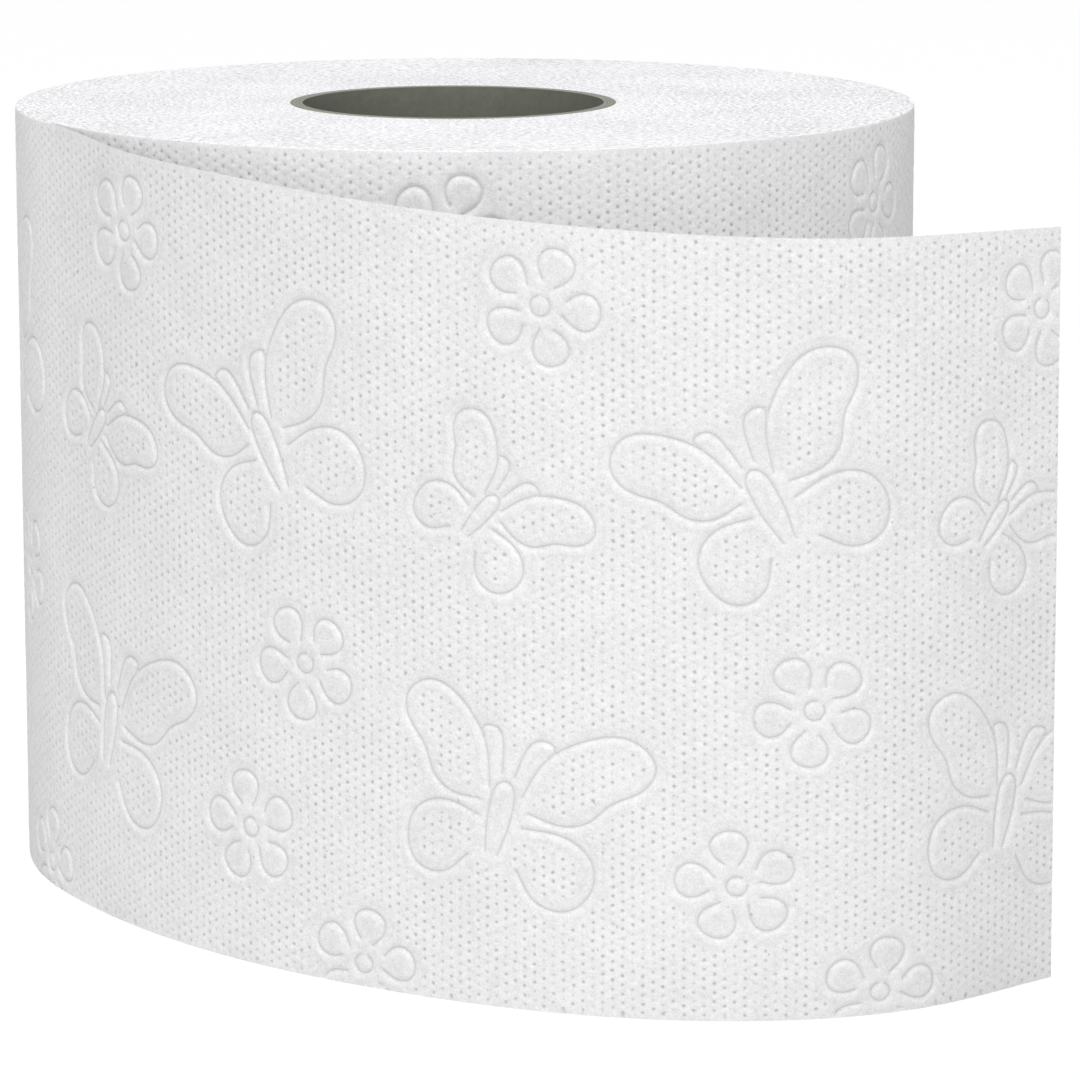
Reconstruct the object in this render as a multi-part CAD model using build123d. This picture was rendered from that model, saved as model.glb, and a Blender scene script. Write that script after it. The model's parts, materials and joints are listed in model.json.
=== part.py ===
from build123d import *
import os
from math import ceil, cos, degrees, floor, pi, radians, sin

# A toilet paper roll standing on one end, with the last sheet of its web hanging loose in front.
# The origin is on the axis of the core, in the plane that the roll stands on, with +Z up.
# Seen from above, the web winds anticlockwise, and its loose end leaves the roll at the front left.

# Web and core, in millimetres
WEB_WIDTH = 97.0
CORE_BORE_RADIUS = 19.2
CORE_WALL = 1.5
CORE_CLEARANCE = 0.05

# Wound part: the outermost turn starts at UNDER_TURN_RADIUS below the loose end
UNDER_TURN_RADIUS = 56.7
SHEET_THICKNESS = 0.5
LEAVING_GAP = 0.3
ROLL_OFFSET_X = 1.9
ROLL_OFFSET_Y = 1.4
LEAVING_ANGLE = 207.0

# Foot of the loose end, on the plane that the roll stands on: x and y from the middle of the
# roll, as shares of UNDER_TURN_RADIUS. The foot starts where the end leaves the roll.
FOOT_SHARES = [
    (-0.722, -0.762),
    (-0.464, -1.050),
    (-0.152, -1.282),
    (0.197, -1.448),
    (0.562, -1.505),
    (0.919, -1.416),
    (1.208, -1.190),
]
# Head of the loose end, its free long edge: x and y as above, and height as a share of WEB_WIDTH
HEAD_SHARES = [
    (-0.750, -0.808, 0.993),
    (-0.549, -1.144, 0.988),
    (-0.295, -1.441, 0.980),
    (0.019, -1.674, 0.970),
    (0.370, -1.801, 0.961),
    (0.742, -1.828, 0.957),
    (1.134, -1.718, 0.961),
]

# Figures pressed into the web: their sizes, how deep they are, and the length of their repeat
FIGURE_DEPTH = 0.22
BUTTERFLY_SPAN = 34.0
DAISY_DIAMETER = 14.5
REPEAT_LENGTH = 63.5

# Tools that cut reach this far past the surface that they cut
OVERRUN = 2.0

# One petal of a daisy: distance from the middle as a share of the radius, and angle from the
# petal's own axis as a share of the petal's turn. The first point is the notch between petals.
PETALS = 5
PETAL_SHARES = [(0.40, -0.50), (0.98, -0.24), (0.98, 0.24)]

# Right half of a butterfly from head to tail, as shares of half its span
WING_SHARES = [
    (0.08, 0.20),
    (0.48, 0.68),
    (0.98, 0.62),
    (0.62, 0.00),
    (0.70, -0.54),
    (0.10, -0.36),
]

# Places of the figures in one repeat: along the web as a share of the repeat, across it as a
# share of the web's width, and the turn of the figure in degrees
BUTTERFLY_PLACE_SHARES = [(0.22, 0.26, -12.0), (0.71, 0.68, 28.0)]
DAISY_PLACE_SHARES = [(0.66, 0.18, 10.0)]


def direction(angle):
    """Level unit vector at an angle in degrees from +X."""
    return Vector(cos(radians(angle)), sin(radians(angle)), 0)


TURN_PITCH = SHEET_THICKNESS + LEAVING_GAP
CORE_RADIUS = CORE_BORE_RADIUS + CORE_WALL
ROLL_MIDDLE = Vector(ROLL_OFFSET_X, ROLL_OFFSET_Y, 0)
OUTER_RADIUS = UNDER_TURN_RADIUS + TURN_PITCH
LEAVING_POINT = ROLL_MIDDLE + direction(LEAVING_ANGLE) * OUTER_RADIUS
LEAVING_TANGENT = direction(LEAVING_ANGLE + 90)
UP = Vector(0, 0, 1)


def core_tube():
    """Cardboard tube in the middle, flush with both ends of the roll."""
    outside = Cylinder(CORE_RADIUS, WEB_WIDTH, align=(Align.CENTER, Align.CENTER, Align.MIN))
    bore = Cylinder(
        CORE_BORE_RADIUS, WEB_WIDTH + 2 * OVERRUN, align=(Align.CENTER, Align.CENTER, Align.MIN)
    )
    return outside - Pos(0, 0, -OVERRUN) * bore


def turn_outline(inset):
    """Outermost turn seen from above, inset from its surface: four arcs, each a quarter pitch
    larger than the one before, closed by the step that the turn's own thickness leaves."""
    quarter = TURN_PITCH / 4
    centre = ROLL_MIDDLE
    edges = []
    for k in range(4):
        angle = LEAVING_ANGLE + 90 * k
        radius = UNDER_TURN_RADIUS + k * quarter - inset
        edges.append(CenterArc(centre, radius, angle, 90))
        centre = centre - direction(angle + 90) * quarter
    edges.append(Line(edges[-1] @ 1, edges[0] @ 0))
    return edges


def turn_block(inset):
    """Solid inside the outermost turn, over the web's whole width."""
    return extrude(make_face(turn_outline(inset)), WEB_WIDTH, dir=UP)


def tail_line(shares, inset):
    """One long edge of the loose end, inset level towards the roll."""
    points = [LEAVING_POINT + UP * (WEB_WIDTH if len(shares[0]) == 3 else 0)]
    for share in shares:
        height = share[2] * WEB_WIDTH if len(share) == 3 else 0
        level = Vector(share[0], share[1], 0) * UNDER_TURN_RADIUS
        points.append(ROLL_MIDDLE + level + UP * height)
    line = Spline(points, tangents=[LEAVING_TANGENT, points[-1] - points[-2]])
    if inset == 0:
        return line
    moved = []
    for point in points:
        along = line.tangent_at(line.param_at_point(point))
        moved.append(point - along.cross(UP).normalized() * inset)
    return Spline(moved, tangents=[LEAVING_TANGENT, points[-1] - points[-2]])


def ruled(first, second):
    """Ruled face between two edges."""
    return Face.make_surface_from_curves(first.edge(), second.edge())


def tail_block(near, far):
    """Loose end between two insets from its outer surface."""
    foot = [tail_line(FOOT_SHARES, inset) for inset in (near, far)]
    head = [tail_line(HEAD_SHARES, inset) for inset in (near, far)]
    faces = [ruled(foot[0], head[0]), ruled(foot[1], head[1])]
    faces.append(ruled(foot[0], foot[1]))
    faces.append(ruled(head[0], head[1]))
    for end in (0, 1):
        faces.append(ruled(Line(foot[0] @ end, foot[1] @ end), Line(head[0] @ end, head[1] @ end)))
    return Solid(Shell(faces))


def daisy(diameter):
    """Outline of a flower with blunt petals, filled."""
    points = []
    for petal in range(PETALS):
        for reach, lean in PETAL_SHARES:
            angle = 90 + (petal + lean) * 360 / PETALS
            points.append(direction(angle) * (reach * diameter / 2))
    return make_face(Polyline(points, close=True))


def butterfly(span):
    """Outline of a butterfly seen from above, filled and alike on both sides of its body."""
    right = [Vector(x, y, 0) * (span / 2) for x, y in WING_SHARES]
    left = [Vector(-point.X, point.Y, 0) for point in reversed(right)]
    return make_face(Polyline(right + left, close=True))


def placed_figures(foot_length):
    """Every figure on the web: its face, its size, its distance along the web from the line where
    the end leaves the roll, its height and its turn. The distance is negative on the roll."""
    kinds = [
        (butterfly, BUTTERFLY_SPAN, BUTTERFLY_PLACE_SHARES),
        (daisy, DAISY_DIAMETER, DAISY_PLACE_SHARES),
    ]
    turn_length = 2 * pi * OUTER_RADIUS
    placed = []
    for shape, size, places in kinds:
        face = shape(size)
        for along, across, turn in places:
            first = ceil((size / 2 - turn_length) / REPEAT_LENGTH - along)
            last = floor(foot_length / REPEAT_LENGTH - along)
            for k in range(first, last + 1):
                distance = (k + along) * REPEAT_LENGTH
                placed.append((face, size, distance, across * WEB_WIDTH, turn))
    return placed


def web_plane(foot, head, distance, height):
    """Plane on the outside of the web, facing out, with its y up the web."""
    if distance < 0:
        angle = LEAVING_ANGLE + degrees(distance / OUTER_RADIUS)
        origin = ROLL_MIDDLE + direction(angle) * OUTER_RADIUS + UP * height
        return Plane(origin=origin, x_dir=direction(angle + 90), z_dir=direction(angle))
    share = distance / foot.length
    rise = (head @ share) - (foot @ share)
    along = foot % share
    origin = (foot @ share) + rise * (height / WEB_WIDTH)
    return Plane(origin=origin, x_dir=along, z_dir=along.cross(rise))


def figure_tool(foot, head, figure):
    """Prism of one figure through the web, long enough for the web's bend across it."""
    face, size, distance, height, turn = figure
    plane = web_plane(foot, head, distance, height)
    bend = size**2 / (8 * OUTER_RADIUS)
    return extrude(plane * Rot(0, 0, turn) * face, bend + OVERRUN, both=True)


def pressed(block, skin, tools):
    """Block with each tool pressed in as deep as the skin goes."""
    recesses = []
    for tool in tools:
        shared = tool & skin
        recesses += shared.solids() if shared else []
    return block - recesses


def paper_roll():
    """Wound web with its loose end, one solid: the end runs on from the step of the last turn."""
    foot = tail_line(FOOT_SHARES, 0)
    head = tail_line(HEAD_SHARES, 0)
    turn_tools = []
    tail_tools = []
    for figure in placed_figures(foot.length):
        tool = figure_tool(foot, head, figure)
        half = figure[1] / 2
        if figure[2] < half:
            turn_tools.append(tool)
        if figure[2] > -half:
            tail_tools.append(tool)
    hole = Cylinder(
        CORE_RADIUS + CORE_CLEARANCE,
        WEB_WIDTH + 2 * OVERRUN,
        align=(Align.CENTER, Align.CENTER, Align.MIN),
    )
    # The first stretch under the loose end stays plain, because the end lies close over it.
    covered = Plane(origin=LEAVING_POINT, x_dir=UP, z_dir=LEAVING_TANGENT)
    cover = extrude(covered * Rectangle(3 * WEB_WIDTH, BUTTERFLY_SPAN), BUTTERFLY_SPAN / 2)
    turn_skin = turn_block(-OVERRUN) - turn_block(FIGURE_DEPTH) - cover
    turns = pressed(turn_block(0) - Pos(0, 0, -OVERRUN) * hole, turn_skin, turn_tools)
    tail_skin = tail_block(-OVERRUN, FIGURE_DEPTH)
    tail = pressed(tail_block(0, SHEET_THICKNESS), tail_skin, tail_tools)
    return turns + tail


PARTS = {"core_tube": core_tube, "paper_roll": paper_roll}

os.makedirs("parts", exist_ok=True)
for node, build in PARTS.items():
    export_step(build(), f"parts/{node}.step")
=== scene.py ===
import json
from math import ceil, cos, floor, pi, radians, sin, tau

import bpy
import numpy as np
from bpy.props import FloatProperty, FloatVectorProperty, IntProperty, PointerProperty
from mathutils import Matrix, Vector
from mathutils.geometry import delaunay_2d_cdt


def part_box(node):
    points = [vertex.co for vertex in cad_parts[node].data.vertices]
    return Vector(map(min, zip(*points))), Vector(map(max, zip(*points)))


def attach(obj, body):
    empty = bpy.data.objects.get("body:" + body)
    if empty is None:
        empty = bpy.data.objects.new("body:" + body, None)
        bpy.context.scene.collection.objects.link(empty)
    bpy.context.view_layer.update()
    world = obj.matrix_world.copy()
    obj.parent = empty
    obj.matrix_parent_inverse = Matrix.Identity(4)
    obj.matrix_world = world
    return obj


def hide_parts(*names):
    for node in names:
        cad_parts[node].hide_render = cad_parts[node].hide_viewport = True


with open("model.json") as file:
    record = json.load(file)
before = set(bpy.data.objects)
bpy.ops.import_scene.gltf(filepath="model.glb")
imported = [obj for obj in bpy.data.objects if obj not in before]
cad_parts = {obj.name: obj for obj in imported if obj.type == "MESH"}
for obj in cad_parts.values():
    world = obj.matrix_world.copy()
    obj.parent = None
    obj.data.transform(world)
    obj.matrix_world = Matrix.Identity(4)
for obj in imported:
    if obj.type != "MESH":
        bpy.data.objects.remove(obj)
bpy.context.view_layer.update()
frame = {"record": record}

bl_info = {
    "name": "Toilet paper roll",
    "version": (1, 0, 0),
    "blender": (4, 5, 0),
    "location": "View3D > Sidebar > Paper roll",
    "description": "Embossed web, loose end, core tube and stage around the packed solids",
    "category": "Add Mesh",
}

# Distances are in metres, in the frame of the solids: the core's axis is Z, and the roll stands on
# z = 0. On the web, "along" is the distance from the line where the loose end leaves the roll,
# negative on the roll, and "across" is the height on the web.
MM = 0.001
core_low, core_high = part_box("core_tube")
core_bore = next(m for m in frame["record"]["mounts"] if m["name"] == "core_bore")
BORE_RADIUS = core_bore["dims"]["r_mm"] * MM
WEB_WIDTH = core_high.z - core_low.z

# A place nearer than this to a border lies on it
TOUCH = 1e-9
SEED = 7

# Foot and head of the loose end, as shares of the radius under it and of the web's width
FOOT_SHARES = [
    (-0.722, -0.762),
    (-0.464, -1.050),
    (-0.152, -1.282),
    (0.197, -1.448),
    (0.562, -1.505),
    (0.919, -1.416),
    (1.208, -1.190),
]
HEAD_SHARES = [
    (-0.750, -0.808, 0.993),
    (-0.549, -1.144, 0.988),
    (-0.295, -1.441, 0.980),
    (0.019, -1.674, 0.970),
    (0.370, -1.801, 0.961),
    (0.742, -1.828, 0.957),
    (1.134, -1.718, 0.961),
]

# Strokes of a butterfly's right side, as shares of half its span, x out from the body and y up
FOREWING_SHARES = [
    (0.13, 0.14),
    (0.22, 0.42),
    (0.48, 0.69),
    (0.80, 0.78),
    (0.99, 0.62),
    (0.92, 0.42),
    (0.75, 0.28),
    (0.63, 0.11),
    (0.42, 0.02),
    (0.20, 0.04),
]
HINDWING_SHARES = [
    (0.18, -0.08),
    (0.44, -0.05),
    (0.69, -0.16),
    (0.75, -0.39),
    (0.60, -0.60),
    (0.36, -0.58),
    (0.20, -0.40),
]
FEELER_SHARES = [(0.05, 0.27), (0.08, 0.45), (0.19, 0.60), (0.29, 0.57), (0.26, 0.50)]
BODY_SHARES = [(0.055, 0.19), (0.085, 0.07), (0.080, -0.12), (0.045, -0.34)]
NOSE_RISE = 0.035
# A butterfly is drawn a little from one side, so the wings on its left look shorter
LEFT_WING_SHARE = 0.86

# A daisy's petal: reach as a share of the radius, lean as a share of the petal's turn
PETALS = 5
PETAL_SHARES = [
    (0.38, -0.22),
    (0.62, -0.34),
    (0.88, -0.26),
    (0.99, 0.0),
    (0.88, 0.26),
    (0.64, 0.34),
    (0.44, 0.24),
]
# The ring in a daisy's middle: its radius as a share of the daisy's, and where it is open
RING_SHARE = 0.17
RING_OPENING = radians(50)
RING_STEPS = 12

# Places in one repeat: along as a share of the repeat, across as a share of the width, and turn
LARGE_PLACE_SHARES = [(0.22, 0.26, -12.0), (0.71, 0.68, 28.0)]
SMALL_PLACE_SHARES = [(0.19, 0.64, -40.0)]
DAISY_PLACE_SHARES = [
    (0.66, 0.18, 10.0),
    (0.30, 0.90, 50.0),
    (0.80, 0.41, 30.0),
    (0.93, 0.03, 62.0),
]

# Line of sight of the picture
LENS_ANGLE = radians(12.265)
CAMERA_PLACE = (0.0, -0.6392, 0.16334)
CAMERA_PITCH = radians(10.910)
CAMERA_YAW = radians(0.992)
CAMERA_ROLL = radians(0.013)


# Settings

class RollSettings(bpy.types.PropertyGroup):
    """Sizes and colours of the wound web, its loose end and the core tube."""

    turn_radius: FloatProperty(
        name="Turn radius",
        description="Outside of the turn under the loose end, where the end leaves the roll",
        default=56.7 * MM,
        unit="LENGTH",
    )
    sheet_thickness: FloatProperty(
        name="Sheet thickness",
        description="Thickness of the embossed web",
        default=0.5 * MM,
        unit="LENGTH",
    )
    leaving_gap: FloatProperty(
        name="Gap under the end",
        description="Gap between the loose end and the turn under it where it leaves",
        default=0.3 * MM,
        unit="LENGTH",
    )
    leaving_angle: FloatProperty(
        name="Leaving angle",
        description="Direction from the middle of the roll to the line where the end leaves it",
        default=radians(207.0),
        subtype="ANGLE",
    )
    middle: FloatVectorProperty(
        name="Middle of the roll",
        description="Place of the roll's middle from the core's axis",
        default=(1.9 * MM, 1.4 * MM, 0.0),
        subtype="TRANSLATION",
    )
    clearance: FloatProperty(
        name="Core clearance",
        description="Room between the core tube and the innermost turn",
        default=0.05 * MM,
        unit="LENGTH",
    )
    rim: FloatProperty(
        name="Rim radius",
        description="Softness of the web's cut edges",
        default=0.14 * MM,
        unit="LENGTH",
    )
    paper: FloatVectorProperty(
        name="Paper",
        description="Colour of the tissue",
        default=(0.86, 0.86, 0.865),
        subtype="COLOR",
        min=0.0,
        max=1.0,
    )
    edges: FloatVectorProperty(
        name="Cut edges",
        description="Colour of the web's cut edges on both ends",
        default=(0.86, 0.86, 0.877),
        subtype="COLOR",
        min=0.0,
        max=1.0,
    )
    board: FloatVectorProperty(
        name="Board",
        description="Colour of the core's board",
        default=(0.182, 0.185, 0.155),
        subtype="COLOR",
        min=0.0,
        max=1.0,
    )


class EmbossSettings(bpy.types.PropertyGroup):
    """Sizes of what is embossed into the web."""

    repeat: FloatProperty(
        name="Repeat",
        description="Length of the pattern's repeat along the web",
        default=63.5 * MM,
        unit="LENGTH",
    )
    large_span: FloatProperty(
        name="Large butterfly",
        description="Span of the large butterflies",
        default=34.0 * MM,
        unit="LENGTH",
    )
    small_span: FloatProperty(
        name="Small butterfly",
        description="Span of the small butterflies",
        default=23.0 * MM,
        unit="LENGTH",
    )
    daisy_diameter: FloatProperty(
        name="Daisy",
        description="Diameter of the daisies",
        default=14.5 * MM,
        unit="LENGTH",
    )
    groove_depth: FloatProperty(
        name="Groove depth",
        description="Depth of the drawn lines",
        default=0.24 * MM,
        unit="LENGTH",
    )
    groove_width: FloatProperty(
        name="Groove width",
        description="Half width of the drawn lines",
        default=0.30 * MM,
        unit="LENGTH",
    )
    swell: FloatProperty(
        name="Swell",
        description="How far the paper stands up beside a line",
        default=0.06 * MM,
        unit="LENGTH",
    )
    dot_columns: IntProperty(
        name="Dot columns",
        description="Columns of dots in one repeat, an even number",
        default=54,
        min=2,
    )
    dot_pitch: FloatProperty(
        name="Dot pitch",
        description="Distance of the dots in a column",
        default=1.2 * MM,
        unit="LENGTH",
    )
    dot_radius: FloatProperty(
        name="Dot radius",
        description="Radius of a dot at the surface",
        default=0.34 * MM,
        unit="LENGTH",
    )
    dot_depth: FloatProperty(
        name="Dot depth",
        description="Depth of a dot at its middle",
        default=0.22 * MM,
        unit="LENGTH",
    )
    dot_clearance: FloatProperty(
        name="Plain band",
        description="Distance from a line to the nearest dots",
        default=1.45 * MM,
        unit="LENGTH",
    )


class StageSettings(bpy.types.PropertyGroup):
    """Floor, lamps and world."""

    floor_size: FloatProperty(
        name="Floor size",
        description="Side of the floor",
        default=12.0,
        unit="LENGTH",
    )
    floor_colour: FloatVectorProperty(
        name="Floor",
        description="Colour of the floor",
        default=(0.65, 0.65, 0.65),
        subtype="COLOR",
        min=0.0,
        max=1.0,
    )
    world_strength: FloatProperty(
        name="World",
        description="Strength of the world's light on the object",
        default=0.52,
    )
    key_power: FloatProperty(
        name="Key lamp",
        description="Power of the front lamp",
        default=7.1,
        unit="POWER",
    )
    top_power: FloatProperty(
        name="Top lamp",
        description="Power of the lamp above",
        default=12.2,
        unit="POWER",
    )


# Lines in space

def level(angle):
    """Level unit vectors at angles in radians from +X."""
    return np.stack([np.cos(angle), np.sin(angle), np.zeros_like(angle)], -1)


def unit(vectors):
    """The vectors at a length of 1."""
    return vectors / np.linalg.norm(vectors, axis=-1, keepdims=True)


def evenly(begin, end, step):
    """Values from begin to end at about the given step."""
    return np.linspace(begin, end, max(2, int(round(abs(end - begin) / step)) + 1))


def spline(points, first, last, samples):
    """Points along a smooth curve through the given points, with given directions at its ends."""
    points = np.array(points, float)
    gaps = np.linalg.norm(np.diff(points, axis=0), axis=1)
    count = len(points)
    system = np.eye(count)
    sides = np.zeros_like(points)
    sides[0] = unit(np.array(first, float))
    sides[-1] = unit(np.array(last, float))
    for i in range(1, count - 1):
        before, after = gaps[i - 1], gaps[i]
        system[i, i - 1 : i + 2] = after, 2 * (before + after), before
        rise = (points[i + 1] - points[i]) * before / after
        sides[i] = 3 * (rise + (points[i] - points[i - 1]) * after / before)
    slopes = np.linalg.solve(system, sides)
    knots = np.r_[0, np.cumsum(gaps)]
    place = np.linspace(0, knots[-1], samples)
    span = np.clip(np.searchsorted(knots, place, side="right") - 1, 0, count - 2)
    t = ((place - knots[span]) / gaps[span])[:, None]
    leaving = slopes[span] * gaps[span, None]
    arriving = slopes[span + 1] * gaps[span, None]
    return (
        (2 * t**3 - 3 * t**2 + 1) * points[span]
        + (t**3 - 2 * t**2 + t) * leaving
        + (3 * t**2 - 2 * t**3) * points[span + 1]
        + (t**3 - t**2) * arriving
    )


def read_at(places, known, line):
    """Values of a line's columns at places, from the places where they are known."""
    return np.stack([np.interp(places, known, column) for column in line.T], -1)


def by_length(line, count):
    """The line's points again, evenly spaced, and its length."""
    run = np.r_[0, np.cumsum(np.linalg.norm(np.diff(line, axis=0), axis=1))]
    return read_at(np.linspace(0, run[-1], count), run, line), run[-1]


# Paths of the web

class Turn:
    """Outermost turn seen from above: four arcs, each a quarter pitch larger than the one before."""

    ARCS = 4
    ARC_ANGLE = pi / 2

    def __init__(self, sizes):
        step = (sizes.sheet_thickness + sizes.leaving_gap) / self.ARCS
        self.radii = sizes.turn_radius + step * np.arange(self.ARCS)
        self.starts = sizes.leaving_angle + self.ARC_ANGLE * np.arange(self.ARCS)
        moves = -step * level(self.starts[:-1] + self.ARC_ANGLE)
        self.centres = np.array(sizes.middle) + np.vstack([np.zeros(3), np.cumsum(moves, axis=0)])
        lengths = self.radii * self.ARC_ANGLE
        self.length = float(lengths.sum())
        self.begins = np.r_[0, np.cumsum(lengths)[:-1]] - self.length

    def at(self, along):
        """Points of the outside at distances along the web, and their outward directions."""
        arc = np.clip(np.searchsorted(self.begins, along, side="right") - 1, 0, self.ARCS - 1)
        angle = self.starts[arc] + (along - self.begins[arc]) / self.radii[arc]
        out = level(angle)
        return self.centres[arc] + self.radii[arc, None] * out, out


class LooseEnd:
    """Outer surface of the loose end: straight lines from its foot to its head. Each line lies in
    an upright plane through one upright line far in front, so columns of dots stand upright."""

    SAMPLES = 800
    # Distance of that upright line in front of the core's axis
    UPRIGHT_REACH = 0.639

    def __init__(self, sizes, turn, width):
        start, out = turn.at(np.array([0.0]))
        tangent = np.cross((0, 0, 1), out[0])
        middle = np.array(sizes.middle)
        foot = [start[0]]
        head = [start[0] + (0, 0, width)]
        for x, y in FOOT_SHARES:
            foot.append(middle + np.array((x, y, 0)) * sizes.turn_radius)
        for x, y, high in HEAD_SHARES:
            head.append(middle + np.array((x, y, 0)) * sizes.turn_radius + (0, 0, high * width))
        foot_line = spline(foot, tangent, foot[-1] - foot[-2], self.SAMPLES)
        head_line = spline(head, tangent, head[-1] - head[-2], self.SAMPLES)
        self.foot, self.length = by_length(foot_line, self.SAMPLES)
        foot_turn = self.upright_turn(self.foot)
        head_turn = self.upright_turn(head_line)
        reach = (head_turn[-1] - head_turn[0]) / (foot_turn[-1] - foot_turn[0])
        head_turn = foot_turn[0] + (head_turn - head_turn[0]) / reach
        self.head = read_at(foot_turn, head_turn, head_line)
        self.width = width

    def upright_turn(self, line):
        """Angle of the upright plane that each point of a line lies in."""
        return np.arctan2(line[:, 0], line[:, 1] + self.UPRIGHT_REACH)

    def read(self, along, line):
        """Values of one of the sampled lines at distances along the web."""
        return read_at(along / self.length * (self.SAMPLES - 1), np.arange(self.SAMPLES), line)

    def at(self, along, across):
        """Points of the outside and their outward directions."""
        foot = self.read(along, self.foot)
        rise = self.read(along, self.head) - foot
        foot_way = self.read(along, np.gradient(self.foot, axis=0))
        head_way = self.read(along, np.gradient(self.head, axis=0))
        high = (across / self.width)[:, None]
        way = foot_way + (head_way - foot_way) * high
        return foot + rise * high, unit(np.cross(way, rise))

    def ways(self, along):
        """Directions along the foot and up the sheet."""
        way = self.read(along, unit(np.gradient(self.foot, axis=0)))
        return way, self.read(along, unit(self.head - self.foot))


# Pattern pressed into the web

class Emboss:
    """Lines and dots of one repeat, and how deep the web is embossed at any place."""

    CURVE_SAMPLES = 40
    # Step of the points along a line, and the distances of more points on both sides of it
    LINE_STEP = 0.45 * MM
    SIDE_STEPS = (0.0, 0.10 * MM, 0.28 * MM, 0.60 * MM, 1.18 * MM)
    # A point beside a line goes if another line is nearer than this share of its own distance
    CLEAR_SHARE = 0.86
    CLEAR_SLACK = 0.01 * MM
    # A square of this side holds one point of the lines at most
    CLOSEST = 0.08 * MM
    # Lines outside the repeat count up to this far
    REACH = 4 * MM
    # Lowest dot of a column and how much higher every other column starts, in pitches
    FIRST_DOT = 0.6
    STAGGER = 0.5
    # Points round a dot, and how far they stand up as a share of the dot's depth; by the same share
    # the ring also carries a painted highlight
    RING_POINTS = 6
    RING_RISE = 0.20
    # A daisy has no dots inside this share of its radius
    PLAIN_SHARE = 0.88
    # Distance and spread of the swell beside a line, in half widths of the line
    SWELL_PLACE = 2.6
    SWELL_SPREAD = 1.2
    CHUNK = 2000

    def __init__(self, sizes, width):
        self.sizes = sizes
        self.width = width
        self.repeat = sizes.repeat
        self.daisy_middles = []
        self.strokes = [self.smooth(stroke) for stroke in self.figures()]
        samples = np.vstack(self.strokes)
        near = (samples[:, 0] > -self.REACH) & (samples[:, 0] < self.repeat + self.REACH)
        near &= (samples[:, 1] > -self.REACH) & (samples[:, 1] < width + self.REACH)
        self.samples = samples[near]

    def smooth(self, stroke):
        """A stroke's points at even steps on a smooth curve."""
        first, last = stroke[1] - stroke[0], stroke[-1] - stroke[-2]
        line = spline(stroke, first, last, self.CURVE_SAMPLES * len(stroke))
        run = np.linalg.norm(np.diff(line, axis=0), axis=1).sum()
        return by_length(line, max(4, int(run / self.LINE_STEP)))[0]

    def figures(self):
        """Every stroke of the figures in one repeat and the repeats beside it."""
        sizes = self.sizes
        kinds = [
            (self.butterfly(), sizes.large_span, LARGE_PLACE_SHARES),
            (self.butterfly(), sizes.small_span, SMALL_PLACE_SHARES),
            (self.daisy(), sizes.daisy_diameter, DAISY_PLACE_SHARES),
        ]
        found = []
        for strokes, size, places in kinds:
            for along, across, turn in places:
                angle = radians(turn)
                turned = np.array([(cos(angle), sin(angle)), (-sin(angle), cos(angle))])
                for k in (-1, 0, 1):
                    middle = np.array([(along + k) * self.repeat, across * self.width])
                    found += [stroke * size / 2 @ turned + middle for stroke in strokes]
                    if places is DAISY_PLACE_SHARES:
                        self.daisy_middles.append(middle)
        return found

    def butterfly(self):
        """Strokes of a butterfly, as shares of half its span."""
        mirror = np.array([-LEFT_WING_SHARE, 1])
        right = [np.array(stroke) for stroke in (FOREWING_SHARES, HINDWING_SHARES, FEELER_SHARES)]
        body = np.array(BODY_SHARES)
        nose = np.array([(0, BODY_SHARES[0][1] + NOSE_RISE)])
        whole = np.vstack([body[::-1], nose, body * (-1, 1)])
        return right + [stroke * mirror for stroke in right] + [whole]

    def daisy(self):
        """Strokes of a daisy, as shares of its radius: open petals round an open ring."""
        strokes = []
        for petal in range(PETALS):
            points = []
            for reach, lean in PETAL_SHARES:
                angle = (petal + lean) * tau / PETALS
                points.append((-reach * sin(angle), reach * cos(angle)))
            strokes.append(np.array(points))
        turn = np.linspace(RING_OPENING, tau, RING_STEPS)
        strokes.append(RING_SHARE * np.stack([np.cos(turn), np.sin(turn)], -1))
        return strokes

    def distance(self, places):
        """Distance of each place in web coordinates from the nearest line."""
        places = np.stack([places[:, 0] % self.repeat, places[:, 1]], -1)
        found = []
        for part in np.array_split(places, max(1, len(places) // self.CHUNK)):
            gaps = part[:, None, :] - self.samples[None]
            found.append(np.sqrt((gaps**2).sum(-1).min(1)))
        return np.concatenate(found)

    def depth(self, distance):
        """Height of the web beside its lines, negative where it is sunk in."""
        half = self.sizes.groove_width
        groove = np.exp(-((distance / half) ** 2))
        aside = (distance - self.SWELL_PLACE * half) / (self.SWELL_SPREAD * half)
        return self.sizes.swell * np.exp(-(aside**2)) - self.sizes.groove_depth * groove

    def line_places(self):
        """Points on the lines of one repeat and beside them."""
        rows = []
        for offset in self.SIDE_STEPS:
            for stroke in self.strokes:
                way = unit(np.gradient(stroke, axis=0))
                side = np.stack([-way[:, 1], way[:, 0]], -1)
                rows.append((stroke + side * offset, offset))
                if offset:
                    rows.append((stroke - side * offset, offset))
                    rows.append((stroke[:1] - way[:1] * offset, offset))
                    rows.append((stroke[-1:] + way[-1:] * offset, offset))
        places = np.vstack([row for row, _ in rows])
        offsets = np.concatenate([np.full(len(row), offset) for row, offset in rows])
        inside = (places[:, 0] >= 0) & (places[:, 0] < self.repeat)
        inside &= (places[:, 1] > 0) & (places[:, 1] < self.width)
        places, offsets = places[inside], offsets[inside]
        places = places[self.distance(places) > offsets * self.CLEAR_SHARE - self.CLEAR_SLACK]
        squares = np.floor(places / self.CLOSEST).astype(int)
        _, first = np.unique(squares, axis=0, return_index=True)
        return places[np.sort(first)]

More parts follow.
